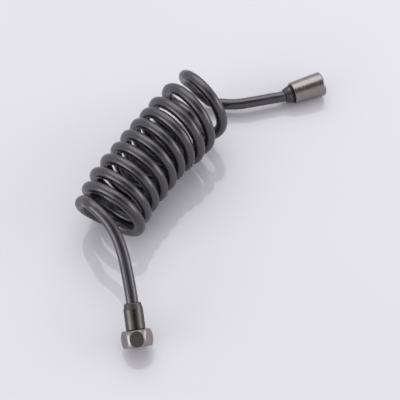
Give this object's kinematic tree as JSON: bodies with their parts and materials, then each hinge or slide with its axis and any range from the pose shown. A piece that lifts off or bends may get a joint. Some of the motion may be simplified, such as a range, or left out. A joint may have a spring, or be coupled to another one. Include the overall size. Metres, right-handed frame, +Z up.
{
  "type": "shower hose",
  "caption": "Coiled shower hose of smooth plastic with a hexagon swivel nut on one end and a conical swivel nut on the other, lying on a flat surface.",
  "frame": {"origin": "on the surface that the hose lies on, at the bottom centre of the box round the two end fittings", "axes": "+X runs along the coil from the hexagon nut's end to the conical nut's end, +Y towards the side that the coil lies on and bows out to, +Z up"},
  "size_m": [0.3494, 0.1354, 0.0717],
  "materials": {
    "hose": "smooth, soft sheen, charcoal grey",
    "nut_metal": "brushed gunmetal plating",
    "ferrule_metal": "satin gunmetal plating",
    "insert_brass": "turned",
    "bush_plastic": "moulded, black",
    "washer_rubber": "moulded, black"
  },
  "bodies": {
    "hose": {"hose_coil": "hose", "hose_front_tail": "hose", "hose_rear_tail": "hose", "hose_front_end": "hose", "hose_rear_end": "hose", "hex_ferrule": "ferrule_metal", "hex_insert": "insert_brass", "hex_washer": "washer_rubber", "cone_ferrule": "ferrule_metal", "cone_insert": "insert_brass", "cone_bush": "bush_plastic", "cone_washer": "washer_rubber"},
    "hex_nut_body": {"hex_nut": "nut_metal"},
    "cone_nut_body": {"cone_nut": "nut_metal"}
  },
  "joints": [
    {"name": "hex_nut_turn", "type": "hinge", "parent": "hose", "child": "hex_nut_body", "pos_m": [-0.1656, -0.0134, 0.0104], "axis": [-0.6496, -0.5727, -0.5], "continuous": true},
    {"name": "cone_nut_turn", "type": "hinge", "parent": "hose", "child": "cone_nut_body", "pos_m": [0.1679, -0.0054, 0.01205], "axis": [0.8052, -0.5915, 0.0429], "continuous": true}
  ]
}
